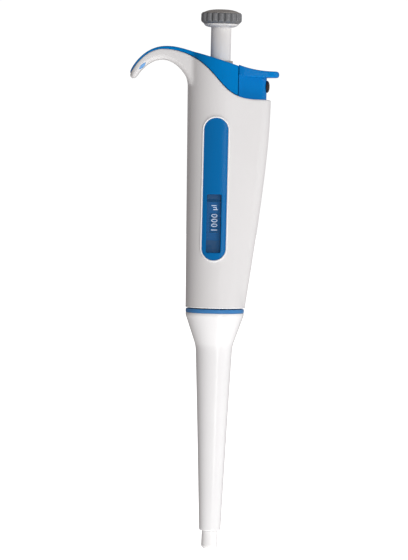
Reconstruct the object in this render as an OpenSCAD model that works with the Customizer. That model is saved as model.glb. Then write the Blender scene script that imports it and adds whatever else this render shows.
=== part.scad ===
// Adjustable micropipette, 100 to 1000 microlitres, air displacement, with tip ejector.
// Origin at the centre of the nozzle mouth, +Z along the plunger axis towards the knob,
// finger hook towards -X, ejector button towards +X, reading window towards -Y.

/* [Dispensing] */
// Piston travel from rest to the first stop
stroke = 10; // [8:0.5:10]
// Further travel from the first stop to the blow-out stop
blowout_travel = 2; // [1:0.25:2]
// Radius of the piston
piston_r = 5.65; // [5:0.05:5.65]
// Travel of the ejector
eject_travel = 6.5; // [4:0.5:6.5]

/* [Nozzle and ejector sleeve] */
// Radius of the nozzle that carries the disposable tip
nozzle_r = 3.5; // [3.2:0.1:3.6]
// Length of nozzle that stands out of the ejector sleeve
nozzle_h = 7.8; // [6:0.2:8]
// Outer radius of the sleeve at its lower end
sleeve_r = 4.75; // [4.75:0.05:5]
// Outer radius of the sleeve and its coloured ring at the handle
ring_r = 13; // [12.8:0.1:13]

/* [Handle] */
// Height of the lower edge of the handle
handle_z = 107; // [107:0.25:107.5]
// Radius of the front of the handle at its lower edge
grip_r = 13.1; // [13:0.1:13.5]
// Growth of the front radius per millimetre of height
grip_taper = 0.0128; // [0.012:0.0002:0.014]
// Radius of the rounded back of the handle
back_r = 8; // [7.9:0.1:8.2]
// Reach of the back of the handle behind the plunger axis at its top rim
back_x = 22.8; // [22.8:0.1:23.2]
// Wall thickness of the handle
wall = 1.5; // [1.3:0.1:1.5]

/* [Finger hook] */
// Distance from the plunger axis to the centre of the finger arch
arch_x = 25.3; // [25:0.1:25.5]
// Height of the centre of the finger arch
arch_z = 206.2; // [206:0.1:206.4]
// Radius of the finger arch
arch_r = 10.8; // [10.5:0.1:11]
// Half width of the hook at its tip
hook_w = 6.5; // [6:0.1:7]

/* [Display] */
// Offset of the centre of the display from the plunger axis
display_x = -1.2; // [-1.4:0.1:-1]
// Half width of the display plate
display_w = 5.5; // [5.4:0.1:5.7]
// Height of the lower end of the display plate
display_z = 128.2; // [128:0.2:128.4]
// Length of the display plate
display_h = 63.4; // [60:0.2:64]
// Radius of the number drums
drum_r = 7.5; // [7.3:0.1:7.5]
// Distance from one number drum to the next
drum_pitch = 2.1; // [2.05:0.05:2.1]
// Module of the carry gears
gear_module = 0.63; // [0.62:0.01:0.63]

/* [Knob and plunger] */
// Radius of the push rod under the knob
stem_r = 4.5; // [4.2:0.1:4.5]
// Outer radius of the knob over its ribs
knob_r = 9.2; // [9:0.1:9.4]
// Number of ribs on the knob
knob_ribs = 18; // [12:1:24]
// Height of the underside of the flange below the knob
knob_z = 231.9; // [231.6:0.1:232.1]

/* [Hidden] */
$fn = 64;

// Small distances
gap = 0.1;
big = 100;

// Colours
white_plastic = [0.9, 0.89, 0.89];
blue_plastic = [0.02, 0.44, 0.72];
light_blue = [0.2, 0.52, 0.8];
display_blue = [0.04, 0.4, 0.68];
window_blue = [0.14, 0.37, 0.6];
stem_grey = [0.8, 0.8, 0.8];
knob_grey = [0.51, 0.52, 0.53];
steel = [0.72, 0.73, 0.75];
brass = [0.8, 0.66, 0.36];
frame_grey = [0.3, 0.31, 0.33];
drum_blue = [0.19, 0.38, 0.58];
rubber_black = [0.08, 0.08, 0.09];
screw_dark = [0.18, 0.12, 0.1];
seal_white = [0.95, 0.95, 0.92];

// Height of the rear rim of the handle
rim_z = 200;

// Heights of the lower stack
bore_z = 92;
seal_z = 106.2;
spring_seat_z = 111;
cap_z = 131;
cap_h = 3;
neck_top_z = 113.5;
lower_top_z = 137.2;

// Heights of the counter
drum_z = 141;
band_h = 1.5;
rim_h = 0.5;
plate_h = 1.5;
counter_top_z = 153;
sleeve_head_z = 154.2;

// Heights of the stop mechanism
floor_z = 155.5;
floor_h = 2;
stop_z = 168;
stop_h = 2;
nut_z = stop_z + stroke + gap;
nut_h = 5;
frame_top_z = 190;
guide_top_z = 209;
collar_top_z = 217;
flange_h = 1.4;
knob_base_z = knob_z + flange_h;
knob_side_h = 4.6;

// Radii of the inner parts
housing_r = 9.1;
frame_r = 9;
frame_wall = 0.8;
spindle_r = 3;
thread_r = 3.5;
plate_r = 11.2;
front_flat_y = -8.9;
tie_r = 10.4;
tie_angles = [100, 180, 300];
post_angles = [140, 215, 318];
pinion_angle = 40;
pinion_teeth = 8;
rim_teeth = 20;
pinion_distance = gear_module * (pinion_teeth + rim_teeth) / 2;

// Ejector
rod_x = 9.8;
rod_t = 1.1;
rod_w = 3;
rod_top_z = 208.5;
sleeve_top_z = 104.8;
neck_x = 9.1;
neck_back_x = 15;
neck_z = 194;
pad_z = 210;
dome_z = 205.9;
dome_r = 2.75;
dome_x = 20.5;
dome_end_x = 22.15;
spring_x = 16.3;
bracket_z = 178;
bracket_h = 2.5;

// ---------- curves and common shapes ----------

// Points of a cubic curve from a to d that leaves towards b and arrives from c
function curve(a, b, c, d, steps = 10) = [
    for (i = [0:steps]) let (t = i / steps, s = 1 - t)
        s * s * s * a + 3 * s * s * t * b + 3 * s * t * t * c + t * t * t * d
];

// Points of an arc in the plane
function arc(x, z, r, from, to, steps = 16) = [
    for (i = [0:steps]) let (a = from + (to - from) * i / steps)
        [x + r * cos(a), z + r * sin(a)]
];

// Plate in the XZ plane, centred on y = 0
module side_plate(points, width) {
    translate([0, width / 2, 0]) rotate([90, 0, 0])
        linear_extrude(width) polygon(points);
}

module ring(inner, outer, z, h) {
    translate([0, 0, z]) difference() {
        cylinder(r = outer, h = h);
        translate([0, 0, -1]) cylinder(r = inner, h = h + 2);
    }
}

module block(low, high) {
    translate(low) cube(high - low);
}

// Room that the ejector rod needs where it passes through a plate
module rod_slot(z, h, clear = 0.4) {
    block([rod_x - clear, -rod_w / 2 - clear, z], [big, rod_w / 2 + clear, z + h]);
}

// Compression spring with flat end turns, its wire swept along a helix
module coil_spring(r, wire_r, z, h, turns) {
    rings = 14;
    sides = 6;
    count = turns * rings;
    end_turns = 1.1;
    end_rise = end_turns * 2.1 * wire_r;
    middle_rise = h - 2 * wire_r - 2 * end_rise;
    function height(turn) =
        turn < end_turns ? end_rise * turn / end_turns :
        turn > turns - end_turns ?
            h - 2 * wire_r - end_rise * (turns - turn) / end_turns :
        end_rise + middle_rise * (turn - end_turns) / (turns - 2 * end_turns);
    points = [
        for (i = [0:count], s = [0:sides - 1])
            let (a = 360 * i / rings, b = 360 * s / sides, d = r + wire_r * cos(b))
            [d * cos(a), d * sin(a), z + wire_r + height(i / rings) + wire_r * sin(b)]
    ];
    function at(i, s) = i * sides + (s % sides);
    walls = [
        for (i = [0:count - 1], s = [0:sides - 1], half = [0, 1])
            half == 0 ? [at(i, s), at(i + 1, s), at(i + 1, s + 1)]
                      : [at(i, s), at(i + 1, s + 1), at(i, s + 1)]
    ];
    first_end = [for (s = [0:sides - 1]) at(0, s)];
    last_end = [for (s = [sides - 1:-1:0]) at(count, s)];
    polyhedron(points, concat([first_end, last_end], walls), convexity = 10);
}

// Outline of a gear with straight-sided teeth
module gear_outline(teeth, addendum = 0.6, dedendum = 0.95) {
    pitch_r = gear_module * teeth / 2;
    tip_r = pitch_r + addendum * gear_module;
    root_r = pitch_r - dedendum * gear_module;
    pitch_angle = 360 / teeth;
    polygon([
        for (i = [0:teeth - 1], side = [-1, 1], end = [0, 1])
            let (tip = side < 0 ? end : 1 - end,
                 a = pitch_angle * (i + side * (tip == 1 ? 0.1 : 0.29)),
                 r = tip == 1 ? tip_r : root_r)
            [r * cos(a), r * sin(a)]
    ]);
}

// ---------- outlines of the handle ----------

function front_r(z) = grip_r + grip_taper * (z - handle_z);

// The back edge bends outwards as it rises
function back_edge(z) =
    let (t = (rim_z - z) / 93)
    back_x - 13.9 * (sqrt(t * t + 0.16) - 0.4);

slice_z = [handle_z, 113, 120, 130, 145, 160, 175, 188, rim_z, 212, 224];

// Egg-shaped body between two heights, thinned by inset on every side
module body_slab(low, high, inset) {
    thin = 0.01;
    hull() {
        for (z = [low, high - thin]) {
            back = back_edge(min(z, rim_z)) - back_r;
            translate([0, 0, z]) cylinder(r = front_r(z) - inset, h = thin, $fn = 56);
            translate([back, 0, z]) cylinder(r = back_r - inset, h = thin, $fn = 56);
        }
    }
}

module body_loft(low, high, inset = 0) {
    inner = [for (z = slice_z) if (z > low && z < high) z];
    heights = concat([low], inner, [high]);
    for (i = [0:len(heights) - 2]) body_slab(heights[i], heights[i + 1] + 0.01, inset);
}

// Silhouette of the top cover from the tip of the hook to the ejector button
cover_x = 7.8;
top_curve = concat(
    curve([-40.9, 209.6], [-39.7, 213.4], [-34, 222.9], [-24, 222.9]),
    curve([-24, 222.9], [-17, 222.9], [-12, 221.3], [cover_x, 215.2])
);

// Parting line between the white handle and the blue cover
parting_curve = concat(
    curve([-40.5, 209.3], [-39, 212.9], [-33.5, 221.8], [-24, 221.8]),
    curve([-24, 221.8], [-21, 221.8], [-19, 221.7], [-17, 221.1], 4),
    curve([-17, 221.1], [-9, 218.5], [-5, 213], [-0.7, 208.1]),
    curve([-0.7, 208.1], [3, 204], [6, rim_z + 0.4], [15, rim_z])
);

// Underside of the hook: the finger arch from the handle, and the tip
hook_under = concat(
    curve([-13.9, 207], [-15.5, 211], [5.8 - arch_x, arch_z + 10.4], [-arch_x, arch_z + arch_r]),
    curve([-arch_x, arch_z + arch_r], [-29.5, 217.2], [-34, 214.3], [-37.1, 209.2]),
    arc(-38.85, 210.2, 1.9, 325, 195, 8)
);

module hook_plan() {
    translate([0, 0, 190]) linear_extrude(50) hull() {
        translate([-5, 0]) circle(r = 9.5);
        translate([-41 + hook_w, 0]) circle(r = hook_w);
    }
}

// Latch of the cover, which reaches through the tip of the hook
module latch(grow = 0) {
    translate([-35.4, 0, 214.7]) rotate([0, -46, 0])
        cube([4 + 2 * grow, 2 * hook_w - 3 + 2 * grow, 4.4 + 2 * grow], center = true);
}

module below_parting() {
    side_plate(concat([[-60, 90], [-60, 210]], parting_curve, [[60, rim_z], [60, 90]]), big);
}

// ---------- liquid end ----------

module barrel() {
    cup_r = 7.6;
    mouth_round = 0.5;
    color(white_plastic) rotate_extrude() polygon(concat(
        [[1.5, 0], [nozzle_r - mouth_round, 0]],
        arc(nozzle_r - mouth_round, mouth_round, mouth_round, -90, 0, 5),
        [[nozzle_r, nozzle_h], [nozzle_r + 0.1, nozzle_h + 0.4], [nozzle_r + 0.15, 30],
         [3.9, 60], [4.8, 88], [7.2, 91.5], [7.2, 103.5], [cup_r, 104],
         [cup_r, 107.6], [8.3, 107.6], [8.3, 109], [6.9, 109], [6.9, seal_z],
         [6, seal_z], [6, bore_z + 0.8], [1.5, 90.5]]
    ));
}

module piston_seal() {
    color(seal_white) ring(piston_r + 0.04, 6.85, seal_z, 1.5);
}

module o_ring() {
    cord_r = 0.55;
    color(rubber_black) translate([0, 0, seal_z + 1.5 + cord_r]) rotate_extrude()
        translate([piston_r + cord_r + 0.06, 0]) circle(r = cord_r, $fn = 24);
}

module seal_retainer() {
    color(white_plastic) {
        ring(piston_r + 0.25, 7.4, 109, spring_seat_z - 109);
        ring(piston_r + 0.25, 6.4, spring_seat_z, 0.8);
    }
}

module barrel_nut() {
    color(frame_grey) difference() {
        translate([0, 0, 106.4]) cylinder(r = 9.4, h = 7);
        translate([0, 0, 106]) cylinder(r = 7.7, h = 3);
        translate([0, 0, 107.6]) cylinder(r = 8.42, h = 6);
        for (a = [0:20:340]) rotate(a + 10)
            translate([9.7, 0, 106]) cylinder(r = 0.55, h = 8, $fn = 16);
    }
}

module lower_frame() {
    color(frame_grey) difference() {
        union() {
            translate([0, 0, 109]) cylinder(r = 8.4, h = 5);
            translate([0, 0, neck_top_z]) cylinder(r = housing_r, h = lower_top_z - neck_top_z);
            translate([0, 0, 114]) cylinder(r = 11.2, h = 2);
            translate([0, 0, lower_top_z - 2]) cylinder(r = plate_r, h = 2);
        }
        translate([0, 0, 108]) cylinder(r = 7.5, h = 5.5);
        translate([0, 0, neck_top_z - 0.1]) cylinder(r = 7.9, h = 30);
        rod_slot(113, 30);
        block([-big, -big, 130], [big, front_flat_y, 140]);
        tie_holes(130, 10);
    }
}

module piston_spring() {
    color(steel) coil_spring(7.05, 0.45, spring_seat_z, cap_z - spring_seat_z, 7);
}

module piston() {
    color(steel) translate([0, 0, 104.8]) {
        cylinder(r1 = piston_r - 0.5, r2 = piston_r, h = 0.5);
        translate([0, 0, 0.5]) cylinder(r = piston_r, h = cap_z - 105.3);
    }
}

module piston_cap() {
    color(frame_grey) difference() {
        translate([0, 0, cap_z]) cylinder(r = 7.5, h = cap_h);
        translate([0, 0, cap_z + cap_h - 0.8]) cylinder(r = spindle_r + 0.3, h = 2);
    }
}

// ---------- counter ----------

module tie_holes(z, h) {
    for (a = tie_angles) rotate(a) translate([tie_r, 0, z]) cylinder(r = 0.75, h = h, $fn = 24);
}

module counter_plate(z) {
    difference() {
        translate([0, 0, z]) cylinder(r = plate_r, h = plate_h);
        translate([0, 0, z - 1]) cylinder(r = 4.35, h = plate_h + 2);
        rod_slot(z - 1, plate_h + 2);
        block([-big, -big, z - 1], [big, front_flat_y + 0.3, z + plate_h + 1]);
        tie_holes(z - 1, plate_h + 2);
        rotate(pinion_angle) translate([pinion_distance, 0, z - 1])
            cylinder(r = 0.8, h = plate_h + 2, $fn = 24);
    }
}

// Posts that hold the plates of the frames apart
module posts(low, high) {
    for (a = post_angles) rotate(a) translate([9.6, 0, low])
        cylinder(r = 1.1, h = high - low, $fn = 24);
}

module counter_frame() {
    color(frame_grey) {
        counter_plate(lower_top_z);
        counter_plate(counter_top_z - plate_h);
        posts(lower_top_z + plate_h / 2, counter_top_z - plate_h / 2);
    }
}

module pinion_shaft() {
    color(steel) rotate(pinion_angle) translate([pinion_distance, 0, lower_top_z + 0.1])
        cylinder(r = 0.8, h = counter_top_z - lower_top_z - 0.2, $fn = 24);
}

// Pinion in the gap above a drum, a tooth space of it facing the drum's axis
module carry_pinion(z) {
    color(seal_white) rotate(pinion_angle) translate([pinion_distance, 0, z])
        difference() {
            rotate(180 + 180 / pinion_teeth) linear_extrude(rim_h - 2 * 0.05)
                gear_outline(pinion_teeth);
            translate([0, 0, -1]) cylinder(r = 0.85, h = 3, $fn = 24);
        }
}

module carry_pinion_1() {
    carry_pinion(drum_z + drum_pitch + band_h + 0.05);
}

module carry_pinion_2() {
    carry_pinion(drum_z + band_h + 0.05);
}

// Number drum: a printed band, and above it a toothed rim that the pinion turns
module number_drum(z, toothed) {
    color(drum_blue) difference() {
        union() {
            translate([0, 0, z]) cylinder(r = drum_r, h = band_h);
            if (toothed) translate([0, 0, z + band_h - 0.01]) rotate(pinion_angle)
                linear_extrude(rim_h) gear_outline(rim_teeth);
        }
        translate([0, 0, z - 1]) cylinder(r = 4.28, h = 5);
    }
}

module thousands_drum() {
    number_drum(drum_z, true);
}

module hundreds_drum() {
    number_drum(drum_z + drum_pitch, true);
}

module tens_drum() {
    number_drum(drum_z + 2 * drum_pitch, false);
}

module zero_ring() {
    base_z = drum_z + 3 * drum_pitch;
    collar_z = base_z + band_h;
    color(drum_blue) {
        ring(4.35, drum_r, base_z, band_h);
        ring(6.4, drum_r, collar_z, counter_top_z - plate_h - collar_z);
    }
}

// Printed mask between the window and the drums
module volume_mask() {
    color(window_blue) difference() {
        block([display_x - 4.2, -9.2, lower_top_z], [display_x + 4.2, -8.6, sleeve_head_z]);
        block([display_x - 2.2, -10, drum_z - 0.4], [display_x + 2.2, -8, drum_z + 8.2]);
    }
}

module drive_sleeve() {
    flat_y = spindle_r - 0.5;
    color(brass) difference() {
        union() {
            translate([0, 0, drum_z - 2]) cylinder(r = 4.2, h = sleeve_head_z + 1.2 - drum_z + 2);
            translate([0, 0, counter_top_z + gap])
                cylinder(r = 5.6, h = sleeve_head_z - counter_top_z - gap);
            translate([0, 0, drum_z + 2 * drum_pitch]) cylinder(r = 4.28, h = band_h);
        }
        intersection() {
            translate([0, 0, drum_z - 5]) cylinder(r = spindle_r + 0.1, h = 30);
            block([-big, -big, 0], [big, flat_y + 0.1, big * 3]);
        }
    }
}

module friction_ring() {
    cord_r = 0.55;
    color(rubber_black) translate([0, 0, sleeve_head_z + cord_r + 0.02]) rotate_extrude()
        translate([4.85, 0]) circle(r = cord_r, $fn = 24);
}

// ---------- stop mechanism ----------

module upper_frame() {
    key_w = 2.6;
    color(frame_grey) difference() {
        union() {
            translate([0, 0, floor_z]) cylinder(r = frame_r, h = frame_top_z - floor_z);
            translate([0, 0, floor_z]) cylinder(r = plate_r, h = floor_h);
            posts(counter_top_z, floor_z + 0.5);
            block([0, -3.6, bracket_z], [spring_x + 3, 3.6, bracket_z + bracket_h]);
            translate([spring_x, 0, bracket_z]) cylinder(r = 1.4, h = 17, $fn = 32);
        }
        translate([0, 0, floor_z + floor_h]) cylinder(r = frame_r - frame_wall, h = 60);
        translate([0, 0, floor_z - 5]) cylinder(r = 4.4, h = 10);
        rod_slot_closed(bracket_z - 1, bracket_h + 2);
        rod_slot(floor_z - 3, floor_h + 4);
        block([-big, -big, 150], [big, front_flat_y, 158.5]);
        block([-key_w / 2, -big, stop_z - blowout_travel - 0.6],
              [key_w / 2, big, nut_z + nut_h + 1]);
        tie_holes(150, 10);
    }
}

// The rod also passes through the bracket of the ejector spring
module rod_slot_closed(z, h) {
    block([rod_x - 0.4, -rod_w / 2 - 0.4, z], [rod_x + rod_t + 0.4, rod_w / 2 + 0.4, z + h]);
}

module frame_screws() {
    color(steel) for (a = tie_angles) rotate(a) translate([tie_r, 0, 0]) {
        translate([0, 0, 133]) cylinder(r = 0.7, h = floor_z + floor_h - 133, $fn = 24);
        translate([0, 0, floor_z + floor_h]) cylinder(r = 1.3, h = 1, $fn = 24);
        translate([0, 0, lower_top_z - 3.2]) cylinder(r = 1.3, h = 1.2, $fn = 6);
    }
}

module blowout_spring() {
    color(steel) coil_spring(7.2, 0.6, floor_z + floor_h, stop_z - stop_h - floor_z - floor_h, 4);
}

module stop_plate() {
    color(brass) ring(3.7, 8, stop_z - stop_h, stop_h);
}

module stop_nut() {
    key_r = 8.7;
    color(seal_white) difference() {
        union() {
            translate([0, 0, nut_z]) cylinder(r = 7.6, h = nut_h);
            block([-1.15, -key_r, nut_z], [1.15, key_r, nut_z + nut_h]);
        }
        translate([0, 0, nut_z - 1]) cylinder(r = thread_r + 0.1, h = nut_h + 2);
    }
}

// Spindle with a flat for the drive sleeve and a coarse adjusting thread
module spindle() {
    thread_z = stop_z + 0.5;
    thread_pitch = 1;
    thread_h = 16;
    flat_y = spindle_r - 0.5;
    stem_z = 188;
    color(steel) difference() {
        union() {
            rotate_extrude() polygon(concat(
                [[0, cap_z + cap_h - 0.8], [spindle_r - 0.3, cap_z + cap_h - 0.8],
                 [spindle_r, cap_z + cap_h - 0.5], [spindle_r, thread_z]],
                [for (i = [0:thread_h / thread_pitch - 1], k = [0:3])
                    [k == 1 || k == 2 ? thread_r : thread_r - 0.5,
                     thread_z + thread_pitch * (i + [0.05, 0.35, 0.6, 0.9][k])]],
                [[spindle_r, thread_z + thread_h], [spindle_r, stem_z],
                 [2.5, stem_z], [2.5, knob_base_z + 2], [0, knob_base_z + 2]]
            ));
        }
        block([-5, flat_y, cap_z + cap_h - 2], [5, 5, thread_z - 0.5]);
        translate([0, 0, knob_base_z - 6]) cylinder(r = 1.1, h = 20, $fn = 24);
    }
}

module stem_guide() {
    color(white_plastic) {
        ring(stem_r + 0.08, frame_r, frame_top_z, 2);
        ring(stem_r + 0.08, 5.9, frame_top_z + 2, guide_top_z - frame_top_z - 2);
    }
}

module calibration_nut() {
    key_w = 1.2;
    color(knob_grey) difference() {
        union() {
            translate([0, 0, guide_top_z + 0.1]) cylinder(r = 5.5, h = collar_top_z - guide_top_z - 0.6);
            translate([0, 0, collar_top_z - 0.5]) cylinder(r1 = 5.5, r2 = 5.1, h = 0.5);
        }
        translate([0, 0, guide_top_z - 1]) cylinder(r = stem_r + 0.25, h = 20);
        for (a = [45:90:315]) rotate(a)
            translate([5.5, 0, collar_top_z - 1.5]) cube([1.2, key_w, 4], center = true);
    }
}

// ---------- plunger and knob ----------

module button_stem() {
    flange_low_r = 5.8;
    flange_top_r = 7.7;
    color(stem_grey) difference() {
        union() {
            translate([0, 0, 188]) cylinder(r = stem_r, h = knob_z - 188);
            translate([0, 0, knob_z]) cylinder(r1 = flange_low_r, r2 = flange_top_r, h = flange_h);
        }
        translate([0, 0, 187]) cylinder(r = 2.55, h = 60);
    }
}

module adjust_knob() {
    chamfer_h = 1.4;
    rib_depth = 1.25;
    steps = 8;
    color(knob_grey) difference() {
        intersection() {
            translate([0, 0, knob_base_z]) linear_extrude(knob_side_h) polygon([
                for (i = [0:knob_ribs * steps - 1])
                    let (a = 360 * i / (knob_ribs * steps) - 90,
                         swell = abs(cos((a + 90) * knob_ribs / 2)))
                    [(knob_r - rib_depth * (1 - swell)) * cos(a),
                     (knob_r - rib_depth * (1 - swell)) * sin(a)]
            ]);
            translate([0, 0, knob_base_z]) union() {
                cylinder(r1 = 7.7, r2 = knob_r + 0.05, h = chamfer_h);
                translate([0, 0, chamfer_h]) cylinder(r = knob_r + 0.05, h = knob_side_h);
            }
        }
        translate([0, 0, knob_base_z - 1]) cylinder(r = 2.55, h = 10);
        translate([0, 0, knob_base_z + 2]) cylinder(r = 3.7, h = 10);
    }
}

module knob_screw() {
    head_z = knob_base_z + 2;
    color(steel) difference() {
        union() {
            translate([0, 0, head_z]) cylinder(r = 3.4, h = 1.8);
            translate([0, 0, head_z - 7.5]) cylinder(r = 1.05, h = 7.6, $fn = 24);
        }
        translate([0, 0, head_z + 0.8]) cylinder(r = 1.5, h = 3, $fn = 6);
    }
}

module knob_cap() {
    cap_r = 8.6;
    dome_h = 1.9;
    plug_h = 0.7;
    base_z = knob_base_z + knob_side_h;
    color(knob_grey) rotate_extrude() polygon(concat(
        [[0, base_z - plug_h], [3.5, base_z - plug_h], [3.5, base_z], [cap_r, base_z]],
        curve([cap_r, base_z + 0.2], [cap_r - 0.5, base_z + 0.9],
              [cap_r - 2.8, base_z + dome_h], [0, base_z + dome_h], 8)
    ));
}

// ---------- casing ----------

module display_outline(grow) {
    r = display_w + grow;
    translate([display_x, display_z + display_w]) circle(r = r);
    translate([display_x, display_z + display_h - display_w]) circle(r = r);
    translate([display_x - r, display_z + display_w])
        square([2 * r, display_h - 2 * display_w]);
}

module display_stadium(grow, depth) {
    translate([0, depth, 0]) rotate([90, 0, 0]) linear_extrude(big) display_outline(grow);
}

window_low_z = display_z + 3.6;
window_high_z = display_z + 29.4;
window_x = [display_x - 3.4, display_x + 3];

module window_box(grow, y_in, y_out) {
    block([window_x[0] - grow, y_out, window_low_z - grow],
          [window_x[1] + grow, y_in, window_high_z + grow]);
}

// Cone that follows the front of the handle, grown or thinned
module front_cone(grow) {
    translate([0, 0, handle_z]) cylinder(
        r1 = front_r(handle_z) + grow,
        r2 = front_r(handle_z + big) + grow,
        h = big
    );
}

module handle_ribs() {
    for (a = [90, 180, 270]) rotate(a) translate([10.4, -0.8, handle_z + 1]) cube([2, 1.6, 6]);
}

module handle_shell() {
    lip_h = 1.3;
    groove_r = 5.3;
    color(white_plastic) difference() {
        union() {
            intersection() {
                union() {
                    difference() {
                        body_loft(handle_z, 224);
                        body_loft(handle_z + lip_h, 225, wall);
                    }
                    intersection() {
                        handle_ribs();
                        body_loft(handle_z, 120, wall / 2);
                    }
                }
                below_parting();
            }
            intersection() {
                side_plate(concat(hook_under, parting_curve, [[-13, rim_z]]), big);
                hook_plan();
                below_hook_root();
            }
        }
        translate([0, 0, handle_z - 1]) cylinder(r = 9.9, h = 3);
        rod_slot_bottom();
        difference() {
            display_stadium(0.05, -8);
            front_cone(-0.8);
        }
        window_box(0.75, -8, -20);
        latch(0.15);
        translate([dome_end_x + 0.15 - groove_r, 0, dome_z - dome_r - eject_travel - 0.6])
            cylinder(r = groove_r, h = 20);
    }
}

// The hook ends at the outer face of the handle wall
module below_hook_root() {
    difference() {
        block([-50, -20, 195], [0, 20, 225]);
        body_slab(190, 226, 0.3);
    }
}

module rod_slot_bottom() {
    block([rod_x - 0.5, -rod_w / 2 - 0.4, handle_z - 1],
          [rod_x + rod_t + 0.4, rod_w / 2 + 0.4, handle_z + 2]);
}

module top_cover() {
    skin = 1.6;
    color(blue_plastic) difference() {
        union() {
            difference() {
                intersection() {
                    translate([0, 0, 0.12]) above_parting();
                    union() {
                        body_loft(199, 224);
                        hook_plan();
                    }
                }
                intersection() {
                    translate([0, 0, -skin]) below_top();
                    body_loft(190, 225, wall);
                }
            }
            latch();
        }
        translate([0, 0, 190]) cylinder(r = 5.75, h = 40);
        translate([0, 0, 218.6]) cylinder(r = 8.3, h = 10);
    }
}

module above_parting() {
    reversed_top = [for (i = [len(top_curve) - 1:-1:0]) top_curve[i]];
    side_plate(concat([for (p = parting_curve) if (p[0] <= cover_x) p],
        [[cover_x, 201.4]], reversed_top), big);
}

module below_top() {
    side_plate(concat([[-60, 150], [-60, 205]], top_curve, [[60, 205], [60, 150]]), big);
}

module display_bezel() {
    color(display_blue) difference() {
        union() {
            intersection() {
                display_stadium(0, -9);
                difference() {
                    front_cone(0.15);
                    front_cone(-0.75);
                }
            }
            intersection() {
                window_box(0.6, -9.2, -20);
                front_cone(-0.7);
            }
        }
        window_box(0, -8, -20);
    }
}

module display_window() {
    color(window_blue) block([window_x[0], -12.6, window_low_z], [window_x[1], -11.8, window_high_z]);
}

// ---------- ejector ----------

module ejector_ring() {
    color(light_blue) difference() {
        union() {
            ring(9.5, ring_r, sleeve_top_z, 1.8);
            ring(11, 11.85, sleeve_top_z - 1.2, 1.3);
        }
        block([rod_x, -rod_w / 2, sleeve_top_z + 0.6], [rod_x + rod_t, rod_w / 2, sleeve_top_z + 5]);
    }
}

module ejector_sleeve() {
    thick = 1;
    color(white_plastic) rotate_extrude() polygon(concat(
        [[nozzle_r + 0.35, nozzle_h + 0.1], [sleeve_r - 0.35, nozzle_h + 0.1],
         [sleeve_r, nozzle_h + 0.5], [6.5, 51.5]],
        curve([8, 85.5], [8.1, 88.6], [8.2, 89.9], [8.8, 91.4], 5),
        curve([12.2, 101.6], [12.6, 102.8], [ring_r, 103.2], [ring_r, 104], 5),
        [[ring_r, sleeve_top_z], [ring_r - thick, sleeve_top_z], [ring_r - thick, 103.6],
         [8.8 - thick, 92.6], [8 - thick, 89], [8 - thick, 85.5]],
        [[6.5 - thick, 51.5]]
    ));
}

module ejector_rod() {
    color(steel) difference() {
        block([rod_x, -rod_w / 2, sleeve_top_z + 0.6], [rod_x + rod_t, rod_w / 2, rod_top_z]);
        translate([0, 0, dome_z]) rotate([0, 90, 0]) cylinder(r = 1, h = 30, $fn = 24);
    }
}

module neck_section(inset = 0) {
    intersection() {
        hull() {
            circle(r = 11.6 - inset);
            translate([neck_back_x, 0]) circle(r = 5.85 - inset);
        }
        translate([neck_x + inset, -20]) square([40, 40]);
    }
}

module ejector_button() {
    solid_z = 203.5;
    pad_r = 7.5;
    pad_front_w = 17.6;
    pad_side = concat(
        curve([8.05, 215.2], [12.5, 213.5], [18.5, 212.4], [24.8, 212.7]),
        arc(25.1, 211.25, 1.42, 80, -70, 6),
        [[20.8, pad_z], [8.4, pad_z - 0.4], [8.05, pad_z]]
    );
    color(light_blue) difference() {
        union() {
            translate([0, 0, neck_z]) linear_extrude(pad_z + 0.5 - neck_z) neck_section();
            // Guide that runs inside the open end of the cover
            block([7, -6.5, 199], [neck_x + 0.4, 6.5, 213]);
            intersection() {
                side_plate(pad_side, big);
                translate([0, 0, 200]) linear_extrude(30) hull() {
                    translate([19, 0]) circle(r = pad_r);
                    translate([8.05, -pad_front_w / 2]) square([2, pad_front_w]);
                }
            }
        }
        difference() {
            translate([0, 0, neck_z - 1]) linear_extrude(solid_z + 1 - neck_z) neck_section(1.4);
            block([0, -3, neck_z - 2], [13, 3, solid_z]);
        }
        block([rod_x, -rod_w / 2, neck_z - 1], [rod_x + rod_t, rod_w / 2, rod_top_z]);
        translate([rod_x, 0, dome_z]) rotate([0, 90, 0]) cylinder(r = 1.05, h = 30, $fn = 24);
        translate([dome_x, 0, dome_z]) rotate([0, 90, 0]) cylinder(r = dome_r + 0.1, h = 30);
    }
}

module ejector_screw() {
    dome_h = dome_end_x - dome_x;
    color(screw_dark) {
        translate([rod_x + 0.1, 0, dome_z]) rotate([0, 90, 0])
            cylinder(r = 0.98, h = dome_x - rod_x, $fn = 24);
        translate([dome_x, 0, dome_z]) rotate([0, 90, 0]) rotate_extrude() polygon(concat(
            [[0, 0], [dome_r, 0]],
            curve([dome_r, 0.5], [dome_r - 0.1, dome_h - 0.5], [dome_r - 1, dome_h], [0, dome_h], 6)
        ));
    }
}

module ejector_spring() {
    color(steel) translate([spring_x, 0, 0])
        coil_spring(2.3, 0.35, bracket_z + bracket_h, 203.5 - bracket_z - bracket_h, 9);
}

barrel();
piston_seal();
o_ring();
seal_retainer();
barrel_nut();
lower_frame();
piston_spring();
piston();
piston_cap();
counter_frame();
pinion_shaft();
carry_pinion_1();
carry_pinion_2();
thousands_drum();
hundreds_drum();
tens_drum();
zero_ring();
volume_mask();
drive_sleeve();
friction_ring();
upper_frame();
frame_screws();
blowout_spring();
stop_plate();
stop_nut();
spindle();
button_stem();
stem_guide();
calibration_nut();
adjust_knob();
knob_screw();
knob_cap();
handle_shell();
top_cover();
display_bezel();
display_window();
ejector_ring();
ejector_sleeve();
ejector_rod();
ejector_button();
ejector_screw();
ejector_spring();
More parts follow.
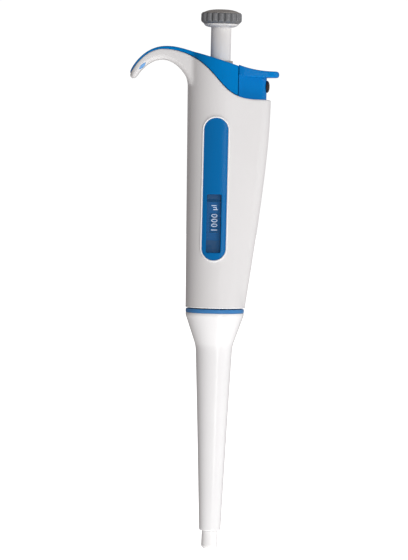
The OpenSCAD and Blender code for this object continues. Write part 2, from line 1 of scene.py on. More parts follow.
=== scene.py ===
"""Adjustable micropipette: the looks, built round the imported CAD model.

Lengths are written in millimetres in the CAD frame (origin at the nozzle's mouth, +Z up the plunger,
-X to the finger hook, +X to the ejector button, -Y to the display) and become metres in new_mesh.
"""
import math

import bmesh
import bpy
import numpy as np
import openvdb
from mathutils import Matrix, Vector


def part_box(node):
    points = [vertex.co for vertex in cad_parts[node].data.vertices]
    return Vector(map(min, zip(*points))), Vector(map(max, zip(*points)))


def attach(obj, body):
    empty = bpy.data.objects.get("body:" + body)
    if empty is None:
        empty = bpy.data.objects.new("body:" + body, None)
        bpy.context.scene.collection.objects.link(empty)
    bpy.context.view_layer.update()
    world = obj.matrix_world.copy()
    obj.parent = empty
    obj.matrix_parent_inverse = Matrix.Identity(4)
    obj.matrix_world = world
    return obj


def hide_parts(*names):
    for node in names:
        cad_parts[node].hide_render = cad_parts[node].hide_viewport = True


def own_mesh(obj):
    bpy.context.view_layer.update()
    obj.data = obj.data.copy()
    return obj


MM = 0.001
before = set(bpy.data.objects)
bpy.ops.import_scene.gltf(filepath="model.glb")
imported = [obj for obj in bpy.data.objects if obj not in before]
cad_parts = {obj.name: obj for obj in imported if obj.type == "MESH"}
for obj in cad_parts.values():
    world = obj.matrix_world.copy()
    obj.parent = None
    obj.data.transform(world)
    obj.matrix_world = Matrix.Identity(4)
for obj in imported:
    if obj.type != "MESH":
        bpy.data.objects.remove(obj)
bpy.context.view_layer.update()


def cad_mm(node):
    """The lowest and highest corner of a CAD node at rest, in millimetres."""
    low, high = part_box(node)
    return [v / MM for v in low], [v / MM for v in high]


# ---------------------------------------------------------------- curves

def bezier(a, b, c, d, steps=24):
    """Points along a cubic curve."""
    t = np.linspace(0, 1, steps + 1)[:, None]
    a, b, c, d = (np.array(p, float) for p in (a, b, c, d))
    s = 1 - t
    return s**3 * a + 3 * s * s * t * b + 3 * s * t * t * c + t**3 * d


def arc(cx, cy, r, start, end, steps=24):
    """Points along a circle, between two angles in degrees."""
    a = np.radians(np.linspace(start, end, steps + 1))
    return np.stack([cx + r * np.cos(a), cy + r * np.sin(a)], 1)


def join(*parts):
    return np.concatenate([np.atleast_2d(np.array(p, float)) for p in parts])


# ---------------------------------------------------------------- meshes

def new_mesh(name, points, faces, node_names, body, material, smooth=True):
    """A piece in millimetres, riding on a body and standing in for CAD nodes."""
    mesh = bpy.data.meshes.new(name)
    mesh.from_pydata(np.asarray(points, float) * MM, [], faces)
    mesh.update()
    for polygon in mesh.polygons:
        polygon.use_smooth = smooth
    piece = bpy.data.objects.new(name, mesh)
    bpy.context.scene.collection.objects.link(piece)
    mesh.materials.append(material)
    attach(piece, body)
    if node_names:
        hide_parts(*node_names)
    return piece


def revolve(profile, segments=128, closed=False, radius=None):
    """Points and quads of a profile of (r, z) turned about Z. radius(r, z, angle) can vary it.

    A profile that starts or ends on the axis closes there in one point.
    """
    profile = np.asarray(profile, float)
    angles = np.arange(segments) * 2 * math.pi / segments
    points, rows = [], []
    for r, z in profile:
        if r < 1e-6:
            rows.append([len(points)] * segments)
            points.append((0, 0, z))
            continue
        rows.append(list(range(len(points), len(points) + segments)))
        for a in angles:
            q = radius(r, z, a) if radius else r
            points.append((q * math.cos(a), q * math.sin(a), z))
    faces = []
    pairs = list(zip(rows, rows[1:]))
    if closed:
        pairs.append((rows[-1], rows[0]))
    for low, high in pairs:
        for i in range(segments):
            j = (i + 1) % segments
            loop = [low[i], low[j], high[j], high[i]]
            face = [v for k, v in enumerate(loop) if v != loop[k - 1]]
            if len(face) > 2:
                faces.append(face)
    return points, faces


def fillet(points, radii, steps=6):
    """A polyline of (r, z) with each inner corner rounded to its radius."""
    points = [np.array(p, float) for p in points]
    out = [points[0]]
    for before, corner, after, r in zip(points, points[1:], points[2:], radii):
        if r <= 0:
            out.append(corner)
            continue
        u, v = before - corner, after - corner
        lu, lv = np.linalg.norm(u), np.linalg.norm(v)
        u, v = u / lu, v / lv
        half = math.acos(float(np.clip(u @ v, -1, 1))) / 2
        reach = min(r / math.tan(half), 0.48 * lu, 0.48 * lv)
        start, end = corner + u * reach, corner + v * reach
        t = np.linspace(0, 1, steps + 1)[:, None]
        out.extend((1 - t)**2 * start + 2 * t * (1 - t) * corner + t**2 * end)
    out.append(points[-1])
    return np.array(out)


def helix_tube(centre, r, wire_r, low, height, turns, rings=40, sides=12):
    """Points and quads of a compression spring with flat end turns."""
    count = int(turns * rings)
    end_turns = 1.1
    end_rise = end_turns * 2.1 * wire_r
    rise = height - 2 * wire_r
    known_turn = [0, end_turns, turns - end_turns, turns]
    known_rise = [0, end_rise, rise - end_rise, rise]
    points, faces = [], []
    for i in range(count + 1):
        a = 2 * math.pi * i / rings
        z = low + wire_r + np.interp(i / rings, known_turn, known_rise)
        for s in range(sides):
            b = 2 * math.pi * s / sides
            d = r + wire_r * math.cos(b)
            points.append((centre + d * math.cos(a), d * math.sin(a), z + wire_r * math.sin(b)))
    for i in range(count):
        for s in range(sides):
            a, b = i * sides + s, i * sides + (s + 1) % sides
            faces.append((a, a + sides, b + sides, b))
    faces.append(list(range(sides)))
    faces.append([count * sides + s for s in reversed(range(sides))])
    return points, faces


# ---------------------------------------------------------------- solids as distance fields

class Field:
    """A block of space sampled every voxel millimetres, on which shapes are signed distances."""

    def __init__(self, low, high, voxel):
        self.voxel = voxel
        axes = [np.arange(a, b + voxel, voxel, dtype=np.float32) for a, b in zip(low, high)]
        self.low = [float(a[0]) for a in axes]
        self.x = axes[0][:, None, None]
        self.y = axes[1][None, :, None]
        self.z = axes[2][None, None, :]

    def side(self, outline):
        """Distance to an outline in the XZ plane, extruded along Y."""
        return outline_distance(outline, self.x, self.z)

    def plan(self, outline):
        """Distance to an outline in the XY plane, extruded along Z."""
        return outline_distance(outline, self.x, self.y)

    def surface(self, distance):
        """Points and quads of the zero surface."""
        band = 3 * self.voxel
        shape = np.broadcast_shapes(self.x.shape, self.y.shape, self.z.shape)
        values = np.broadcast_to(np.clip(distance, -band, band), shape).astype(np.float32)
        grid = openvdb.FloatGrid(band)
        grid.copyFromArray(np.ascontiguousarray(values))
        points, quads = grid.convertToQuads()
        return points * self.voxel + np.array(self.low), quads[:, ::-1].tolist()


def outline_distance(outline, u, v):
    """Signed distance to a closed polygon in the plane of u and v, negative inside."""
    outline = np.asarray(outline, np.float32)
    nearest = np.full(np.broadcast_shapes(u.shape, v.shape), 1e9, np.float32)
    inside = np.zeros(nearest.shape, bool)
    for (ax, ay), (bx, by) in zip(outline, np.roll(outline, -1, 0)):
        ex, ey = bx - ax, by - ay
        length = ex * ex + ey * ey
        if length < 1e-12:
            continue
        t = np.clip(((u - ax) * ex + (v - ay) * ey) / length, 0, 1)
        nearest = np.minimum(nearest, (u - ax - t * ex)**2 + (v - ay - t * ey)**2)
        if ey != 0:
            crosses = (ay > v) != (by > v)
            inside ^= crosses & (u < ax + (v - ay) * ex / ey)
    return np.where(inside, -1, 1) * np.sqrt(nearest)


def both(a, b, r=0.0):
    """Where two shapes overlap, with the edge between them rounded to radius r."""
    if r <= 0:
        return np.maximum(a, b)
    inner = np.minimum(np.maximum(a + r, b + r), 0)
    return inner + np.hypot(np.maximum(a + r, 0), np.maximum(b + r, 0)) - r


def either(a, b, r=0.0):
    """Two shapes joined, with a fillet of about radius r between them."""
    if r <= 0:
        return np.minimum(a, b)
    near = np.maximum(r - np.abs(a - b), 0) / r
    return np.minimum(a, b) - near * near * r / 4


def block(field, low, high):
    """Distance to a box, exact outside its edges only."""
    parts = []
    for axis, a, b in zip((field.x, field.y, field.z), low, high):
        parts.append(np.abs(axis - (a + b) / 2) - (b - a) / 2)
    return np.maximum(np.maximum(parts[0], parts[1]), parts[2])


def capsule_plan(u, v, r_a, r_b, reach):
    """Distance to the hull of a circle r_a at the origin and a circle r_b at (reach, 0)."""
    v = np.abs(v)
    b = (r_a - r_b) / reach
    a = np.sqrt(1 - b * b)
    k = v * -b + u * a
    near = np.hypot(u, v) - r_a
    far = np.hypot(u - reach, v) - r_b
    middle = v * a + u * b - r_a
    return np.where(k < 0, near, np.where(k > a * reach, far, middle))


# ---------------------------------------------------------------- dimensions of the casing

HANDLE_Z = cad_mm("handle_shell")[0][2]
RIM_Z = 200.0
WALL = 1.5
BACK_R = 8.0
# where the cover ends and the button's pad begins
COVER_X = 7.95
PAD_X = 8.05
# the cover's top wall, the hole for the push rod, and the shallow dish round that hole
COVER_WALL = 1.6
COVER_BORE_R = 5.75
DISH_R, DISH_Z = 8.3, 218.6
# the screw behind the button's neck: back and front of its head, height of its axis, head radius
SCREW_X, SCREW_END, SCREW_Z, SCREW_R = 20.5, 22.15, 205.9, 2.75
SHANK_R = 0.98
# the round groove in the rim that the screw's head moves down into: X of its axis, radius, floor
GROOVE_X, GROOVE_R, GROOVE_Z = 17.0, 5.3, 196.05
# the hook seen from above: two circles and the run between their centres
HOOK_X, HOOK_ROOT_R, HOOK_TIP_R, HOOK_RUN = -5, 8.4, 6.4, 29.5
HOOK_EDGE = 2.2
HOOK_FILLET = 1.3
TOP_EDGE = 0.9
# past the object on every side, where an outline only has to close
OUT = 60

TOP_CURVE = join(
    bezier((-40.9, 209.6), (-39.7, 213.4), (-34, 222.9), (-24, 222.9)),
    bezier((-24, 222.9), (-17, 222.9), (-12, 221.3), (COVER_X, 215.2))[1:],
)
PARTING_CURVE = join(
    bezier((-40.5, 209.3), (-38.9, 212.9), (-33.6, 221.65), (-25, 221.55)),
    bezier((-25, 221.55), (-21.5, 221.5), (-19.5, 221.0), (-16.5, 220.1), 12)[1:],
    bezier((-16.5, 220.1), (-9.3, 217.6), (-5, 213), (-0.7, 208.1))[1:],
    bezier((-0.7, 208.1), (3, 204), (6, 200.4), (15, RIM_Z))[1:],
)
UNDER_TOP = join([(-OUT, 80), (-OUT, 206)], TOP_CURVE, [(OUT, 200), (OUT, 80)])
HOOK_UNDER = join(
    bezier((-13.9, 207), (-15.5, 211), (-19.5, 216.6), (-25.3, 217)),
    bezier((-25.3, 217), (-29.5, 217.2), (-34, 214.3), (-37.1, 209.2))[1:],
    arc(-38.85, 210.2, 1.9, 325, 195, 12),
)


def front_r(z):
    """Radius of the handle's front at a height."""
    return 13.1 + 0.0128 * (z - HANDLE_Z)


def back_edge(z):
    """How far the handle's back reaches in X at a height: it curves in towards the lower end."""
    t = (RIM_Z - np.minimum(z, RIM_Z)) / 93
    return 22.8 - 13.9 * (np.sqrt(t * t + 0.16) - 0.4)


def body_distance(field):
    """The egg-shaped section of the handle, growing with height."""
    z = field.z
    return capsule_plan(field.x, field.y, front_r(z), BACK_R, back_edge(z) - BACK_R)


def casing_distance(field):
    """The outer skin that the handle and the top cover share: body, hook and top edge."""
    hook_plan = capsule_plan(HOOK_X - field.x, field.y, HOOK_ROOT_R, HOOK_TIP_R, HOOK_RUN)
    under = field.side(join(HOOK_UNDER, [(-41.2, 211), (-41.2, 240), (-5, 240), (-5, RIM_Z)]))
    hook = both(hook_plan, under, HOOK_EDGE)
    skin = either(body_distance(field), hook, HOOK_FILLET)
    return both(skin, field.side(UNDER_TOP), TOP_EDGE)


def above_parting(field):
    """Distance to the part of space above the seam between cover and handle."""
    low = HANDLE_Z - 40
    return -field.side(join([(-OUT, low), (-OUT, 209)], PARTING_CURVE, [(OUT, RIM_Z), (OUT, low)]))


# ---------------------------------------------------------------- materials

def node_tree(name):
    material = bpy.data.materials.new(name)
    material.use_nodes = True
    tree = material.node_tree
    return material, tree, tree.nodes["Principled BSDF"]


def noise(tree, scale, detail=3.0, stretch=(1, 1, 1)):
    coordinates = tree.nodes.new("ShaderNodeTexCoord")
    mapping = tree.nodes.new("ShaderNodeMapping")
    mapping.inputs["Scale"].default_value = stretch
    texture = tree.nodes.new("ShaderNodeTexNoise")
    texture.inputs["Scale"].default_value = scale
    texture.inputs["Detail"].default_value = detail
    tree.links.new(coordinates.outputs["Object"], mapping.inputs["Vector"])
    tree.links.new(mapping.outputs["Vector"], texture.inputs["Vector"])
    return texture.outputs["Fac"]


def spread(tree, value, low, high):
    """A value from 0 to 1 stretched over a range."""
    node = tree.nodes.new("ShaderNodeMapRange")
    node.inputs["From Min"].default_value = 0.3
    node.inputs["From Max"].default_value = 0.7
    node.inputs["To Min"].default_value = low
    node.inputs["To Max"].default_value = high
    tree.links.new(value, node.inputs["Value"])
    return node.outputs["Result"]


def tint(tree, value, colour_a, colour_b):
    """A colour between two colours."""
    node = tree.nodes.new("ShaderNodeMix")
    node.data_type = "RGBA"
    node.inputs["A"].default_value = (*colour_a, 1)
    node.inputs["B"].default_value = (*colour_b, 1)
    tree.links.new(value, node.inputs["Factor"])
    return node.outputs["Result"]


def shade(colour, factor):
    return tuple(min(1.0, c * factor) for c in colour)


def plastic(name, colour, roughness=0.4, grain=2600, bump=0.06, variety=0.03, coat=0.0, shine=0.5,
            painted_glow=0.0):
    """Moulded plastic: a fine grain, slow changes of gloss, and a faint mottle of the colour. A glow, where
    given, is painted light: the surface gives off its own colour though it is no lamp.
    """
    material, tree, shader = node_tree(name)
    mottle = noise(tree, 55, 4)
    colours = tint(tree, spread(tree, mottle, 0, 1), shade(colour, 1 - variety), shade(colour, 1 + variety))
    tree.links.new(colours, shader.inputs["Base Color"])
    gloss = spread(tree, noise(tree, 140, 3), roughness * 0.88, roughness * 1.12)
    tree.links.new(gloss, shader.inputs["Roughness"])
    texture = tree.nodes.new("ShaderNodeBump")
    texture.inputs["Strength"].default_value = bump
    texture.inputs["Distance"].default_value = 0.00015
    tree.links.new(noise(tree, grain, 2), texture.inputs["Height"])
    tree.links.new(texture.outputs["Normal"], shader.inputs["Normal"])
    shader.inputs["Coat Weight"].default_value = coat
    shader.inputs["Coat Roughness"].default_value = 0.06
    shader.inputs["Specular IOR Level"].default_value = shine
    # painted light: an emission in the surface's own colour
    if painted_glow:
        shader.inputs["Emission Color"].default_value = (*colour, 1)
        shader.inputs["Emission Strength"].default_value = painted_glow
    return material


def metal(name, colour, roughness=0.25, stretch=(1, 1, 0.04), streak=900):
    """Machined metal: fine streaks across or along the part."""
    material, tree, shader = node_tree(name)
    shader.inputs["Metallic"].default_value = 1.0
    streaks = noise(tree, streak, 4, stretch)
    colours = tint(tree, spread(tree, streaks, 0, 1), shade(colour, 0.86), shade(colour, 1.08))
    tree.links.new(colours, shader.inputs["Base Color"])
    tree.links.new(spread(tree, streaks, roughness * 0.7, roughness * 1.4), shader.inputs["Roughness"])
    texture = tree.nodes.new("ShaderNodeBump")
    texture.inputs["Strength"].default_value = 0.15
    texture.inputs["Distance"].default_value = 0.00005
    tree.links.new(streaks, texture.inputs["Height"])
    tree.links.new(texture.outputs["Normal"], shader.inputs["Normal"])
    return material


def rubber(name, colour):
    material, tree, shader = node_tree(name)
    mottle = noise(tree, 900, 4)
    tree.links.new(tint(tree, mottle, shade(colour, 0.7), shade(colour, 1.4)), shader.inputs["Base Color"])
    tree.links.new(spread(tree, mottle, 0.5, 0.7), shader.inputs["Roughness"])
    return material


def pane(name, colour):
    """Tinted clear plastic that shows the drums behind it."""
    material, tree, shader = node_tree(name)
    haze = noise(tree, 300, 3)
    tree.links.new(tint(tree, haze, shade(colour, 0.94), shade(colour, 1.06)), shader.inputs["Base Color"])
    tree.links.new(spread(tree, haze, 0.05, 0.09), shader.inputs["Roughness"])
    shader.inputs["Alpha"].default_value = 0.18
    return material


WHITE_SATIN = plastic("white_satin_plastic", (0.71, 0.703, 0.704), 0.45, 3000, 0.04, 0.012)
WHITE_GLOSS = plastic("white_gloss_plastic", (0.84, 0.84, 0.845), 0.18, 1200, 0.02, 0.01, 0.4)
WHITE_NOZZLE = plastic("white_nozzle_plastic", (0.88, 0.88, 0.88), 0.3, 1500, 0.04, 0.015)
COVER_BLUE = plastic("cover_blue_plastic", (0.0, 0.178, 0.50), 0.5, 3000, 0.04, 0.04, shine=0.05)
BUTTON_BLUE = plastic("button_blue_plastic", (0.0, 0.182, 0.53), 0.25, 2600, 0.03, 0.03, shine=0.16)
LATCH_BLUE = plastic("latch_blue_plastic", (0.17, 0.37, 0.68), 0.35, 2600, 0.05, 0.03, shine=0.4)
RING_BLUE = plastic("ring_blue_plastic", (0.05, 0.20, 0.46), 0.3, 2200, 0.05, 0.05, shine=0.25)
DISPLAY_BLUE = plastic("display_blue_plastic", (0.0, 0.135, 0.385), 0.22, 1500, 0.012, 0.03, shine=0.2)
STEM_WHITE = plastic("stem_pale_plastic", (0.80, 0.785, 0.77), 0.38, 2400, 0.04, 0.02)
KNOB_GREY = plastic("knob_grey_plastic", (0.178, 0.182, 0.19), 0.27, 2600, 0.05, 0.05, shine=1.0)
CAP_GREY = plastic("cap_grey_plastic", (0.29, 0.275, 0.26), 0.38, 2600, 0.06, 0.05)
COLLAR_GREY = plastic("collar_grey_plastic", (0.36, 0.35, 0.335), 0.4, 2600, 0.08, 0.04)
FRAME_GREY = plastic("frame_grey_plastic", (0.05, 0.055, 0.06), 0.5, 2000, 0.10, 0.06)
DRUM_BLUE = plastic("drum_blue_plastic", (0.025, 0.11, 0.27), 0.5, 2600, 0.05, 0.03, shine=0.1)
MASK_BLUE = plastic("mask_blue_plastic", (0.025, 0.11, 0.27), 0.5, 2600, 0.04, 0.02, shine=0.1)
# the digits' pale print, with a painted glow that stands in for the light falling on them behind the window
DIGIT_PALE_PAINTED_GLOW = plastic("digit_print_painted_glow", (0.85, 0.90, 0.95), 0.5, 5000, 0.05, 0.03, painted_glow=0.45)
GEAR_WHITE = plastic("gear_white_plastic", (0.78, 0.77, 0.72), 0.4, 2600, 0.05, 0.03)
SEAL_WHITE = plastic("seal_white_plastic", (0.8, 0.8, 0.77), 0.3, 1800, 0.03, 0.02)
SCREW_DARK = plastic("screw_dark_lacquer", (0.026, 0.012, 0.009), 0.22, 1600, 0.05, 0.2, 0.4)
STEEL = metal("brushed_steel", (0.56, 0.57, 0.58), 0.28)
PISTON_STEEL = metal("polished_steel", (0.62, 0.62, 0.63), 0.14, (1, 1, 0.2))
WIRE_STEEL = metal("spring_wire", (0.5, 0.5, 0.52), 0.25, (0.3, 0.3, 1))
BRASS = metal("turned_brass", (0.68, 0.48, 0.2), 0.26, (0.2, 0.2, 1))
RUBBER_BLACK = rubber("black_rubber", (0.015, 0.015, 0.015))
WINDOW_PANE = pane("tinted_window", (0.03, 0.20, 0.52))


# ---------------------------------------------------------------- casing pieces

MOUTH_R = 9.9
DISPLAY_X = -1.2
DISPLAY_R = 5.5
POCKET = 0.8
DISPLAY_LOW, DISPLAY_HIGH = (cad_mm("display_bezel")[i][2] for i in (0, 1))
WINDOW_LOW, WINDOW_HIGH = cad_mm("display_window")


def stadium(grow):
    """Outline of the display plate: two half circles joined by straight sides."""
    r = DISPLAY_R + grow
    return join(
        arc(DISPLAY_X, DISPLAY_HIGH - DISPLAY_R, r, 0, 180),
        arc(DISPLAY_X, DISPLAY_LOW + DISPLAY_R, r, 180, 360),
    )


def window_outline(grow, r=0.5):
    """Outline of the window, a rectangle with corners of radius r."""
    x0, x1 = WINDOW_LOW[0] - grow, WINDOW_HIGH[0] + grow
    z0, z1 = WINDOW_LOW[2] - grow, WINDOW_HIGH[2] + grow
    return join(
        arc(x1 - r, z1 - r, r, 0, 90, 6), arc(x0 + r, z1 - r, r, 90, 180, 6),
        arc(x0 + r, z0 + r, r, 180, 270, 6), arc(x1 - r, z0 + r, r, 270, 360, 6),
    )


def make_handle():
    """The white shell, open at its lower end, with the display's pocket, the window and the groove."""
    field = Field((-42.6, -16, HANDLE_Z - 1.4), (24.4, 16, 224.4), 0.4)
    above = above_parting(field)
    body = body_distance(field)
    shell = both(casing_distance(field), -above, 0.35)
    shell = both(shell, HANDLE_Z - field.z, 0.5)
    hollow = both(body + WALL, HANDLE_Z + 1.3 - field.z)
    mouth = np.hypot(field.x, field.y) - MOUTH_R
    rod_slot = block(field, (9.3, -1.9, HANDLE_Z - 2), (11.3, 1.9, HANDLE_Z + 3))
    shell = both(shell, -either(hollow, either(mouth, rod_slot)))
    only_front = np.where(field.y < 0, 0, OUT).astype(np.float32)
    pocket = both(field.side(stadium(0.05)), -(body + POCKET) + only_front)
    shell = both(shell, -pocket, 0.3)
    shell = both(shell, -both(field.side(window_outline(0.75)), field.y + 8))
    groove = both(np.hypot(field.x - GROOVE_X, field.y) - GROOVE_R, GROOVE_Z - field.z)
    shell = both(shell, -groove, 0.15)
    points, faces = field.surface(shell)
    new_mesh("handle_shell_smooth", points, faces, ["handle_shell"], "handle", WHITE_SATIN)


def make_cover():
    """The blue top cover: a thin band on the hook, and a hollow lid on the body."""
    field = Field((-42.6, -16, 199), (9.6, 16, 224.4), 0.3)
    above = above_parting(field)
    body = body_distance(field)
    onto_body = np.clip((field.x + 21) / 9, 0, 1)
    cover = both(casing_distance(field) + 0.02 + 0.5 * onto_body, above + 0.06 + 0.18 * onto_body, 0.15)
    cover = both(cover, field.x - COVER_X, 0.12)
    hollow = both(body + WALL + 0.6, field.side(UNDER_TOP) + COVER_WALL)
    cover = both(cover, -hollow)
    from_axis = np.hypot(field.x, field.y)
    cover = both(cover, COVER_BORE_R - from_axis, 0.3)
    dish = both(from_axis - DISH_R, DISH_Z - field.z)
    cover = both(cover, -dish, 0.6)
    points, faces = field.surface(cover)
    new_mesh("top_cover_smooth", points, faces, ["top_cover"], "handle", COVER_BLUE)


def make_latch():
    """The end of the cover's catch, a lens-shaped bar across the hook, proud of it by a hair."""
    field = Field((-38, -7.5, 210), (-31, 7.5, 217.5), 0.14)
    x, z = field.x + 34.6, field.z - 213.75
    turn = math.radians(47)
    half_length, half_width = 2.25, 0.72
    along = x * math.cos(turn) + z * math.sin(turn)
    across = z * math.cos(turn) - x * math.sin(turn)
    lens = (np.abs(across) - half_width * (1 - (along / half_length)**2)) * 0.8
    bar = both(lens, np.abs(field.y) - 6.6, 0.2)
    points, faces = field.surface(both(bar, casing_distance(field) - 0.07, 0.1))
    new_mesh("hook_latch", points, faces, [], "handle", LATCH_BLUE)


def make_display():
    """The blue plate set in the handle, with a tunnel behind the window."""
    field = Field((-8, -16, DISPLAY_LOW - 1), (5.4, -8.4, DISPLAY_HIGH + 1), 0.22)
    body = body_distance(field)
    window = field.side(window_outline(0))
    plate = both(field.side(stadium(-0.02)), body - 0.12, 0.4)
    plate = both(plate, -(body + 0.75))
    tunnel = both(field.side(window_outline(0.6)), both(body + 0.6, field.y + 9.2))
    bezel = both(either(plate, tunnel), -window, 0.15)
    points, faces = field.surface(bezel)
    new_mesh("display_bezel_smooth", points, faces, ["display_bezel"], "handle", DISPLAY_BLUE)


def front_y(x, z):
    """Where the handle's front surface is at (x, z)."""
    low, high = -20.0, 0.0
    for _ in range(30):
        y = (low + high) / 2
        inside = capsule_plan(np.array(x), np.array(y), front_r(z), BACK_R, back_edge(z) - BACK_R) < 0
        low, high = (low, y) if inside else (y, high)
    return high


def bead(name, path, r, material, sides=12):
    """A round bead along a closed path."""
    path = np.asarray(path, float)
    count = len(path)
    ahead = np.roll(path, -1, 0) - np.roll(path, 1, 0)
    ahead /= np.linalg.norm(ahead, axis=1)[:, None]
    flat = np.ptp(path, axis=0).argmin()
    out = np.eye(3)[flat] - ahead * ahead[:, flat:flat + 1]
    out /= np.linalg.norm(out, axis=1)[:, None]
    side = np.cross(ahead, out)
    points, faces = [], []
    for i in range(count):
        for k in range(sides):
            a = 2 * math.pi * k / sides
            points.append(path[i] + r * (math.cos(a) * out[i] + math.sin(a) * side[i]))
            here, after = i * sides, (i + 1) % count * sides
            faces.append([here + k, after + k, after + (k + 1) % sides, here + (k + 1) % sides])
    new_mesh(name, points, faces, [], "handle", material)


def section_outline(z, inset, steps=72):
    """The handle's egg-shaped outline at a height, moved inwards."""
    r_a, r_b, reach = front_r(z), BACK_R, back_edge(z) - BACK_R
    turn = math.degrees(math.acos((r_a - r_b) / reach))
    outline = join(
        arc(0, 0, r_a - inset, turn, 360 - turn, steps), arc(reach, 0, r_b - inset, -turn, turn, steps // 2)
    )
    return [(x, y, z) for x, y in outline]


def make_highlight_beads():
    """A bead round the display and a lip at the lower rim of the handle: real rims, made in the brighter
    gloss white to paint the highlight along these edges.
    """
    r = 0.42
    display = [(x, front_y(x, z), z) for x, z in stadium(0.22)]
    # painted highlight: rims of the handle given a whiter, glossier material than the handle, so that they
    # read as bright lines
    bead("display_bead_painted_highlight", display, r, WHITE_GLOSS)
    bead("lower_lip_painted_highlight", section_outline(HANDLE_Z + r, 0.34), r, WHITE_GLOSS)


def make_window():
    """The clear pane, slightly crowned, with eased edges."""
    field = Field((WINDOW_LOW[0] - 0.4, -13.4, WINDOW_LOW[2] - 0.4),
                  (WINDOW_HIGH[0] + 0.4, -11.4, WINDOW_HIGH[2] + 0.4), 0.15)
    crown = 0.12 * (1 - ((field.x - DISPLAY_X) / 3.5)**2)
    slab = both(-field.y - 12.5 - crown, field.y + 11.8, 0.1)
    points, faces = field.surface(both(field.side(window_outline(-0.03)), slab, 0.12))
    new_mesh("display_window_clear", points, faces, ["display_window"], "handle", WINDOW_PANE)


def make_button():
    """The side button: a pad over a hollow neck, a raised strip at each side of the neck, and a guide
    that runs inside the cover."""
    field = Field((6.2, -10.6, 192.6), (27.8, 10.6, 216.8), 0.26)
    side = field.side(join(
        bezier((PAD_X, 215.3), (12.5, 213.6), (18.5, 212.45), (24.8, 212.7)),
        arc(25.1, 211.25, 1.42, 80, -70, 12),
        [(20.8, 209.9), (11.5, 209.9)],
        bezier((11.5, 209.9), (9.5, 210.0), (9.0, 210.4), (PAD_X, 210.7), 8),
    ))
    plan = field.plan(join(
        [(5, -8.8), (10.4, -8.8)], arc(19, 0, 7.5, -80, 80), [(10.4, 8.8), (5, 8.8)]
    ))
    pad = both(side, plan, 0.6)
    neck_low, pocket_top = 194, 203.5
    hull = capsule_plan(field.x, field.y, 11.6, 5.85, 15)
    section = both(hull, 9.1 - field.x, 0.3)
    neck = both(section, both(neck_low - field.z, field.z - 210.4), 0.2)
    button = either(pad, neck, 0.5)
    strip = both(both(hull - 0.12, 8.1 - field.x, 0.25), both(field.x - 9.3, 7.0 - np.abs(field.y)))
    button = either(button, both(strip, both(neck_low - field.z, field.z - 211), 0.2))
    pocket = both(section + 1.4, field.z - pocket_top)
    rod_block = block(field, (8, -3, 190), (13, 3, pocket_top))
    button = both(button, -both(pocket, -rod_block))
    guide = block(field, (7, -6.5, 199), (9.5, 6.5, 213))
    button = either(button, guide)
    rod_slot = block(field, (9.75, -1.55, 190), (10.95, 1.55, 208.55))
    button = both(button, -rod_slot)
    from_screw = np.hypot(field.y, field.z - SCREW_Z)
    button = both(button, -both(from_screw - SCREW_R - 0.1, SCREW_X - field.x), 0.15)
    button = both(button, -both(from_screw - SHANK_R - 0.07, 10 - field.x))
    points, faces = field.surface(button)
    new_mesh("ejector_button_smooth", points, faces, ["ejector_button"], "ejector", BUTTON_BLUE)


# ---------------------------------------------------------------- turned pieces

def make_sleeve():
    """The long white sleeve, which flares out below the ring."""
    outer = join(
        [(3.9, 7.4)],
        bezier((4.35, 7.4), (4.6, 7.45), (4.75, 7.7), (4.79, 8.2), 6),
        [(5.6, 29), (6.5, 51.5), (7.3, 70.5)],
        bezier((7.95, 85), (8.08, 88.6), (8.2, 89.9), (8.8, 91.6), 16),
        bezier((12.2, 101.4), (12.65, 102.8), (13.0, 103.2), (13.0, 104.1), 12),
        bezier((13.0, 104.5), (13.0, 104.7), (12.9, 104.8), (12.7, 104.8), 4),
    )
    inner = [(12.0, 104.8), (12.0, 103.6), (7.8, 92.6), (7, 89), (7, 85.5), (5.5, 51.5), (3.88, 7.6)]
    points, faces = revolve(join(outer, inner), 160, closed=True)
    new_mesh("ejector_sleeve_smooth", points, faces, ["ejector_sleeve"], "ejector", WHITE_GLOSS)


def make_nozzle():
    """The barrel with its piston chamber; the end that shows has a rounded cone for the tip."""
    profile = join(
        [(1.5, -0.5)], bezier((1.6, -0.8), (1.8, -0.9), (2.0, -0.9), (2.2, -0.88), 5),
        bezier((2.4, -0.85), (3.2, -0.6), (3.64, -0.1), (3.68, 0.9), 12),
        [(3.52, 7.2), (3.6, 8.0), (3.65, 30), (3.9, 60), (4.8, 88), (7.2, 91.5), (7.2, 103.5), (7.6, 104)],
        [(7.6, 107.6), (8.3, 107.6), (8.3, 109), (6.9, 109)],
        [(6.9, 106.2), (6, 106.2), (6, 92.8), (1.5, 90.5)],
    )
    points, faces = revolve(profile, 128, closed=True)
    new_mesh("barrel_smooth", points, faces, ["barrel"], "handle", WHITE_NOZZLE)


def make_ring():
    """The blue ring, seated in the sleeve's mouth."""
    corners = [(11.9, 103.65), (11.9, 104.85), (13.02, 104.85), (13.05, 106.6), (9.5, 106.6), (9.5, 104.85),
               (11.0, 104.85), (11.0, 103.65), (11.9, 103.65)]
    profile = fillet(corners, [0, 0.3, 0.45, 0.2, 0.2, 0, 0.1])[:-1]
    points, faces = revolve(profile, 160, closed=True)
    new_mesh("ejector_ring_smooth", points, faces, ["ejector_ring"], "ejector", RING_BLUE)


STEM_LOW = cad_mm("button_stem")[0][2]
KNOB_BASE, KNOB_TOP = (cad_mm("adjust_knob")[i][2] for i in (0, 1))
CAP_TOP = cad_mm("knob_cap")[1][2]
KNOB_RIBS = 18
KNOB_R = 9.25
RIB_DEPTH = 1.5


